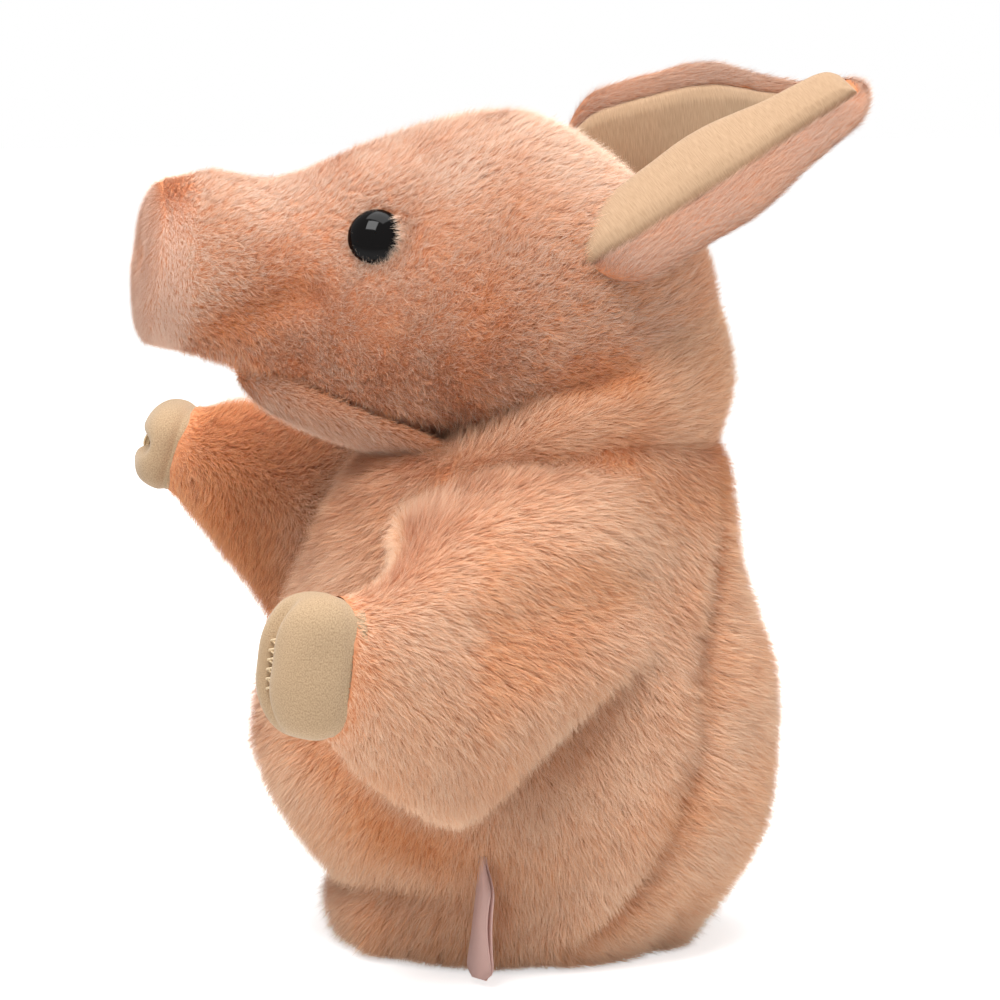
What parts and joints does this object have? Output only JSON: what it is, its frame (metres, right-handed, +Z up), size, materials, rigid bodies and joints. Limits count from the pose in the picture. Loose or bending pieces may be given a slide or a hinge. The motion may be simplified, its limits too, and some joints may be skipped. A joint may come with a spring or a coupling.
{
  "type": "pig hand puppet",
  "caption": "Plush pig glove puppet with a finger pocket in its soft head, sleeve arms ending in velour hooves, floppy lined ears and a hem opening for the hand.",
  "frame": {"origin": "on the ground under the hem, at the centre of the outline seen from above", "axes": "+Z up through the head, snout towards -X, the puppet's left side towards -Y"},
  "size_m": [0.2096, 0.2054, 0.2488],
  "materials": {
    "body_plush": "long soft pile plush, peach pink",
    "head_plush": "short pile plush, peach pink",
    "velour": "brushed beige velour",
    "lining": "plain woven lining",
    "stuffing": "polyester fibre fill",
    "eye": "polished black",
    "washer": "natural moulded plastic",
    "ribbon": "satin ribbon, blank"
  },
  "bodies": {
    "torso": {"belly_panel": "body_plush", "back_panel": "body_plush", "hem_band": "body_plush"},
    "neck": {"neck_collar": "body_plush"},
    "head": {"head_plush": "head_plush", "head_stuffing": "stuffing", "finger_pocket": "lining", "nose_disc": "head_plush", "left_eye": "eye", "right_eye": "eye", "left_eye_washer": "washer", "right_eye_washer": "washer", "palate_lining": "lining"},
    "jaw": {"lower_jaw": "head_plush", "jaw_lining": "lining"},
    "left_ear": {"left_ear_back": "head_plush", "left_ear_lining": "velour"},
    "right_ear": {"right_ear_back": "head_plush", "right_ear_lining": "velour"},
    "left_arm": {"left_sleeve": "body_plush", "left_hoof": "velour", "left_hoof_stuffing": "stuffing"},
    "right_arm": {"right_sleeve": "body_plush", "right_hoof": "velour", "right_hoof_stuffing": "stuffing"},
    "label": {"side_label": "ribbon"}
  },
  "joints": [
    {"name": "head_turn", "type": "hinge", "parent": "torso", "child": "neck", "pos_m": [0.00948, -0.00199, 0.1855], "axis": [0, 0, 1], "range_deg": [-15, 15], "stiffness_Nm_per_rad": 0.15},
    {"name": "head_nod", "type": "hinge", "parent": "neck", "child": "head", "pos_m": [0.00948, -0.00199, 0.1855], "axis": [0, 1, 0], "range_deg": [-8, 18], "stiffness_Nm_per_rad": 1.2},
    {"name": "jaw_open", "type": "hinge", "parent": "head", "child": "jaw", "pos_m": [-0.02152, -0.00199, 0.1437], "axis": [0, -1, 0], "range_deg": [0, 12], "stiffness_Nm_per_rad": 0.05},
    {"name": "left_ear_flop", "type": "hinge", "parent": "head", "child": "left_ear", "pos_m": [0.01948, -0.04559, 0.2046], "axis": [0.252, -0.748, -0.614], "range_deg": [-12, 20], "stiffness_Nm_per_rad": 0.04},
    {"name": "right_ear_flop", "type": "hinge", "parent": "head", "child": "right_ear", "pos_m": [0.02748, 0.03131, 0.21735], "axis": [0.4049, -0.5159, -0.7549], "range_deg": [-12, 20], "stiffness_Nm_per_rad": 0.04},
    {"name": "left_arm_raise", "type": "hinge", "parent": "torso", "child": "left_arm", "pos_m": [0.00548, -0.04899, 0.088], "axis": [0, 1, 0], "range_deg": [-12, 30], "stiffness_Nm_per_rad": 0.4},
    {"name": "right_arm_raise", "type": "hinge", "parent": "torso", "child": "right_arm", "pos_m": [-0.01352, 0.04501, 0.09], "axis": [0, 1, 0], "range_deg": [-30, 12], "stiffness_Nm_per_rad": 0.4},
    {"name": "label_swing", "type": "hinge", "parent": "torso", "child": "label", "pos_m": [-0.01352, -0.062, 0.034], "axis": [0, 1, 0], "range_deg": [-40, 40]}
  ]
}
